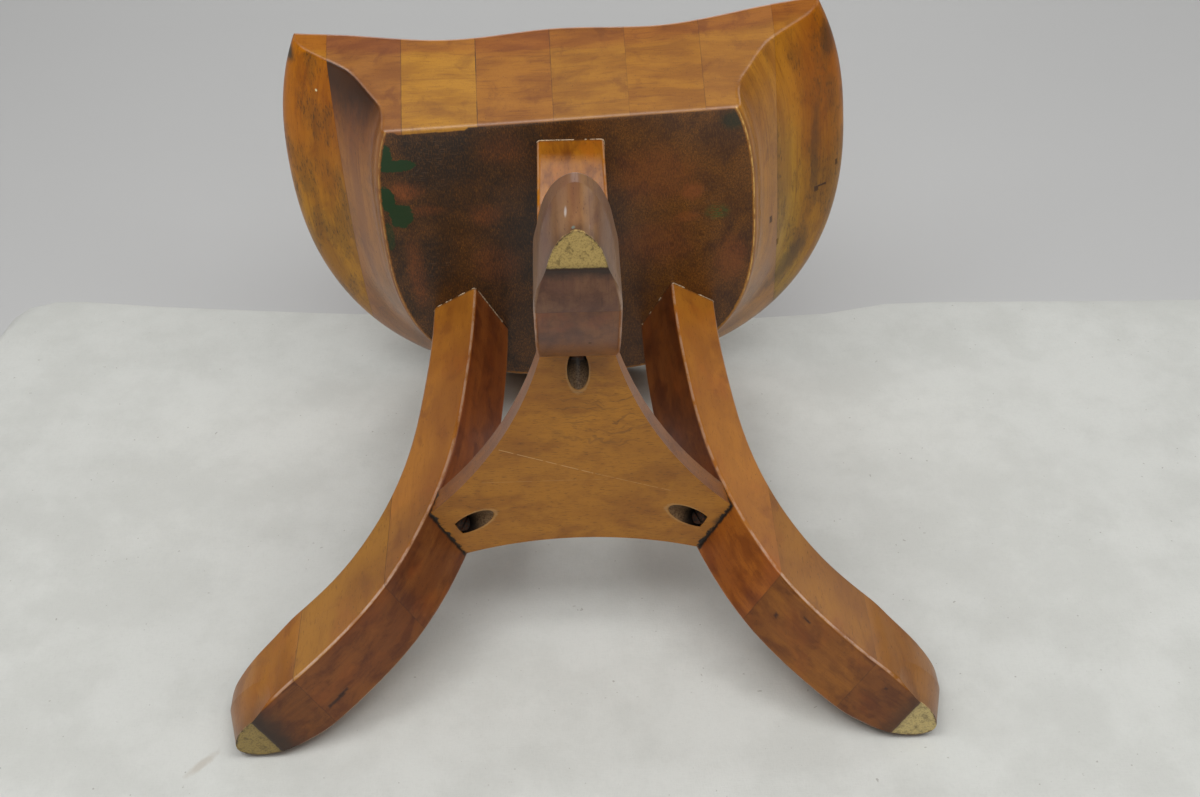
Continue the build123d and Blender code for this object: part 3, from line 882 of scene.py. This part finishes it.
def joint_line(leg):
    """The line where one leg's top meets the seat, as an object of edges."""
    turn = Matrix.Rotation(LEG_AZIMUTHS[leg], 3, "Z")
    level = SEAT_UNDERSIDE - GLUE_DROP * MM
    path = rounded_box_path(*LEG_TOP_REACH, LEG_HALF_WIDTH, LEG_EDGE_ROUND, GLUE_STEP)
    points = [FLOOR_CENTRE + turn @ Vector((p.x * MM, p.y * MM, level)) for p in path]
    edges = [(index, (index + 1) % len(points)) for index in range(len(points))]
    mesh = bpy.data.meshes.new(f"glue_line_{leg}")
    mesh.from_pydata(points, edges, [])
    return add_object(f"glue_line_{leg}", mesh)


def glue_bead(leg, tree, material, cover, seed):
    """The glue round the top of one leg, as a plain mesh that rides on the stool."""
    line = joint_line(leg)
    modifier = line.modifiers.new("bead", "NODES")
    modifier.node_group = tree
    names = {item.name: item.identifier for item in tree.interface.items_tree if item.in_out == "INPUT"}
    for name, value in (("Radius", GLUE_RADIUS * MM), ("Cover", cover), ("Seed", seed), ("Glue", material)):
        modifier[names[name]] = value
    evaluated = line.evaluated_get(bpy.context.evaluated_depsgraph_get())
    mesh = bpy.data.meshes.new_from_object(evaluated)
    bpy.data.objects.remove(line)
    shape = bmesh.new()
    shape.from_mesh(mesh)
    bmesh.ops.recalc_face_normals(shape, faces=shape.faces)
    shape.to_mesh(mesh)
    shape.free()
    mesh.shade_smooth()
    bead = add_object(f"glue_bead_{leg}", mesh)
    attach(bead, "root")


def make_glue():
    """A bead of glue round the top of each leg."""
    tree, material = glue_tree(), dried_glue()
    for leg, (cover, seed) in GLUE_BEADS.items():
        glue_bead(leg, tree, material, cover, seed)


dress_all()
make_glue()


# Floor and backdrop. The stool lies on its back, on the two rear feet and the rear rim of the seat.

CLOTH_COLOUR = (0.585, 0.590, 0.560)
BACKDROP_COLOUR = (0.497, 0.497, 0.492)
# A brown mark on the cloth: its centre and half size, and how it slants
CLOTH_MARK = ((-226.8, -3.0), (5.0, 13.0))
CLOTH_MARK_SLANT = -0.8
# The cloth's far edge: X, and Z along the floor
CLOTH_EDGE = (
    (-0.900, 0.020),
    (-0.600, 0.160),
    (-0.480, 0.350),
    (-0.463, 0.454),
    (-0.456, 0.492),
    (-0.447, 0.507),
    (-0.428, 0.515),
    (-0.406, 0.515),
    (-0.338, 0.504),
    (-0.213, 0.489),
    (-0.108, 0.479),
    (0.126, 0.463),
    (0.205, 0.468),
    (0.234, 0.475),
    (0.255, 0.480),
    (0.300, 0.481),
    (0.454, 0.475),
    (0.900, 0.470),
)
# Rows of the cloth: share of the way to its far edge, and how far it hangs down there
CLOTH_ROWS = ((0.0, 0.0), (0.75, 0.0), (0.97, 0.0), (0.993, 0.0), (0.998, 0.0008), (1.0, 0.0028))


def resting_plane():
    """The floor's slope in Y along Z, and its Y at z = 0, where it touches the feet and the rim."""
    feet = [v.co for leg in ("right", "left") for v in frame["nodes"][f"leg_{leg}_toe"].data.vertices]
    rim = [v.co for number in STAVE_WOODS for v in frame["nodes"][f"seat_stave_{number}"].data.vertices]
    slope = 0.0
    for _ in range(4):
        foot = max(feet, key=lambda co: co.y - slope * co.z)
        back = max(rim, key=lambda co: co.y - slope * co.z)
        slope = (back.y - foot.y) / (back.z - foot.z)
    return slope, foot.y - slope * foot.z


def one_sided(web, colour, height, depth):
    """A matt stage surface that shows its front alone, so that views from behind see the stool."""
    inputs = {"Base Color": colour, "Roughness": 0.95, "Normal": web.bump(height, depth)}
    inputs["Specular IOR Level"] = 0.1
    surface = web.node("ShaderNodeBsdfPrincipled", inputs).outputs[0]
    clear = web.node("ShaderNodeBsdfTransparent", {}).outputs[0]
    behind = web.node("ShaderNodeNewGeometry", {}).outputs["Backfacing"]
    shown = web.node("ShaderNodeMixShader", {0: behind, 1: surface, 2: clear}).outputs[0]
    web.node("ShaderNodeOutputMaterial", {"Surface": shown})
    return web.material


def pale_cloth():
    """Pale cloth with faint marks, fine threads and a few specks."""
    web = Web("pale_cloth")
    place = web.own_place()
    marks = web.noise(place, (55, 55, 55), 0.0, 5.0, 0.62)
    threads = web.noise(place, (0.9, 5.0, 3.5), 0.0, 2.0, 0.6)
    cross = web.noise(place, (4.0, 5.0, 0.9), 0.0, 2.0, 0.6)
    creases = web.noise(place, (90, 90, 60), 3.0, 2.0, 0.4, 0.4)
    specks = web.rise(web.noise(place, (3, 3, 3), 2.0, 1.0), 0.775, 0.80)
    x, _, z = web.split(place)
    slant = web.add(x, web.times(z, CLOTH_MARK_SLANT))
    mark = web.spot(slant, z, *CLOTH_MARK, web.ragged(place, (6, 6, 6), 0.0, 0.5))
    dull, bright = shade(CLOTH_COLOUR, 0.950, 0.950, 0.945), shade(CLOTH_COLOUR, 1.035, 1.035, 1.035)
    colour = web.blend(web.rise(marks, 0.35, 0.65), dull, bright)
    woven = web.times(web.rise(web.add(threads, cross), 0.9, 1.3), 0.5)
    colour = web.stain(woven, colour, (0.93, 0.93, 0.93))
    colour = web.blend(web.times(specks, 0.5), colour, (0.22, 0.20, 0.17))
    colour = web.blend(web.times(mark, 0.35), colour, (0.34, 0.27, 0.19))
    height = web.add(web.times(creases, 12.0), web.times(threads, 0.4), web.times(cross, 0.4))
    return one_sided(web, colour, height, 0.25 * MM)


def grey_paper():
    """Even grey paper for the backdrop."""
    web = Web("grey_backdrop")
    place = web.own_place()
    cloud = web.noise(place, (400, 400, 400), 0.0, 2.0)
    dull, bright = shade(BACKDROP_COLOUR, 0.98, 0.98, 0.98), shade(BACKDROP_COLOUR, 1.02, 1.02, 1.02)
    return one_sided(web, web.blend(cloud, dull, bright), cloud, 0.1 * MM)


def stage_sheet(name, rows, material):
    """A sheet of the stage from rows of points, facing the stool."""
    width = len(rows[0])
    points = [point for row in rows for point in row]
    faces = []
    for row in range(len(rows) - 1):
        for column in range(width - 1):
            corner = row * width + column
            faces.append((corner, corner + 1, corner + width + 1, corner + width))
    mesh = bpy.data.meshes.new(name)
    mesh.from_pydata(points, [], faces)
    mesh.materials.append(material)
    mesh.shade_smooth()
    piece = add_object(name, mesh)


def make_stage():
    """The cloth, whose far edge turns down a little, and the grey sweep under and behind it."""
    slope, base_y = resting_plane()
    near = -3.0
    rows = []
    for share, drop in CLOTH_ROWS:
        depths = [(x, near + (edge - near) * share) for x, edge in CLOTH_EDGE]
        rows.append([(x, base_y + slope * z + drop, z) for x, z in depths])
    stage_sheet("cloth", rows, pale_cloth())

    half, bend, wall_z, under = 3.5, 0.6, 2.2, 0.003
    path = [(base_y + slope * z + under, z) for z in (near, wall_z - bend)]
    for step in range(1, 17):
        turn = math.pi / 2 * step / 16
        path.append((path[1][0] - bend * (1 - math.cos(turn)), wall_z - bend + bend * math.sin(turn)))
    path.append((-half, wall_z))
    stage_sheet("backdrop", [[(-half, y, z), (half, y, z)] for y, z in path], grey_paper())


make_stage()


# Light and camera

LIT_PLACE = Vector((0.0, 0.1, 0.2))
SOFTBOX_DISTANCE = 1.9
SOFTBOX_SIZE = 1.0
WORLD_COLOUR = (0.95, 0.97, 1.0)
WORLD_STRENGTH = 0.02
# Soft lamps: degrees above the floor, degrees round from straight behind the stool, and watts
SOFTBOXES = (
    (90, 0, 2.4),
    (58, 120, 11.7),
    (58, 180, 12.7),
    (58, 240, 13.3),
    (28, 0, 7.9),
    (28, 60, 4.2),
    (28, 180, 3.0),
    (28, 300, 2.5),
)
# The camera's lens in millimetres, its directions, and its place from the middle of the feet
CAMERA_LENS = 53.67
CAMERA_RIGHT = Vector((0.99947, 0.01023, -0.03076))
CAMERA_DOWN = Vector((-0.02711, 0.78428, -0.61981))
CAMERA_AHEAD = Vector((0.01779, 0.62032, 0.78415))
CAMERA_PLACE = Vector((-6.06, -699.72, -709.40)) * MM


def make_world():
    """Faint, even light from all round. The camera sees the backdrop's grey there."""
    world = bpy.data.worlds.new("studio")
    bpy.context.scene.world = world
    world.use_nodes = True
    tree = world.node_tree
    faint = tree.nodes["Background"]
    faint.inputs["Color"].default_value = (*WORLD_COLOUR, 1.0)
    faint.inputs["Strength"].default_value = WORLD_STRENGTH
    seen = add_node(tree, "ShaderNodeBackground", {"Color": BACKDROP_COLOUR}).outputs[0]
    to_camera = add_node(tree, "ShaderNodeLightPath", {}).outputs["Is Camera Ray"]
    inputs = {0: to_camera, 1: faint.outputs[0], 2: seen}
    choice = add_node(tree, "ShaderNodeMixShader", inputs).outputs[0]
    tree.links.new(choice, tree.nodes["World Output"].inputs["Surface"])


def make_softbox(height, round_it, power):
    """A soft lamp at a height and an azimuth in degrees, aimed at the stool."""
    name = f"softbox_{height}_{round_it}"
    lamp = bpy.data.lights.new(name, "AREA")
    lamp.shape = "SQUARE"
    lamp.size = SOFTBOX_SIZE
    lamp.energy = power
    holder = add_object(name, lamp)
    rise, turn = math.radians(height), math.radians(round_it)
    way = Vector((math.cos(rise) * math.sin(turn), -math.sin(rise), math.cos(rise) * math.cos(turn)))
    aim = (-way).to_track_quat("-Z", "Y")
    holder.matrix_world = Matrix.LocRotScale(LIT_PLACE + way * SOFTBOX_DISTANCE, aim, None)
    holder.visible_camera = False


def make_camera():
    """The photograph's viewpoint: from below the feet and in front, with the stool on its back."""
    camera = bpy.data.cameras.new("camera")
    camera.sensor_width = 36.0
    camera.lens = CAMERA_LENS
    holder = add_object("camera", camera)
    axes = Matrix((CAMERA_RIGHT, -CAMERA_DOWN, -CAMERA_AHEAD)).transposed().to_4x4()
    holder.matrix_world = Matrix.Translation(FLOOR_CENTRE + CAMERA_PLACE) @ axes
    bpy.context.scene.camera = holder


make_world()
for softbox in SOFTBOXES:
    make_softbox(*softbox)
make_camera()
bpy.context.scene.view_settings.view_transform = "Standard"
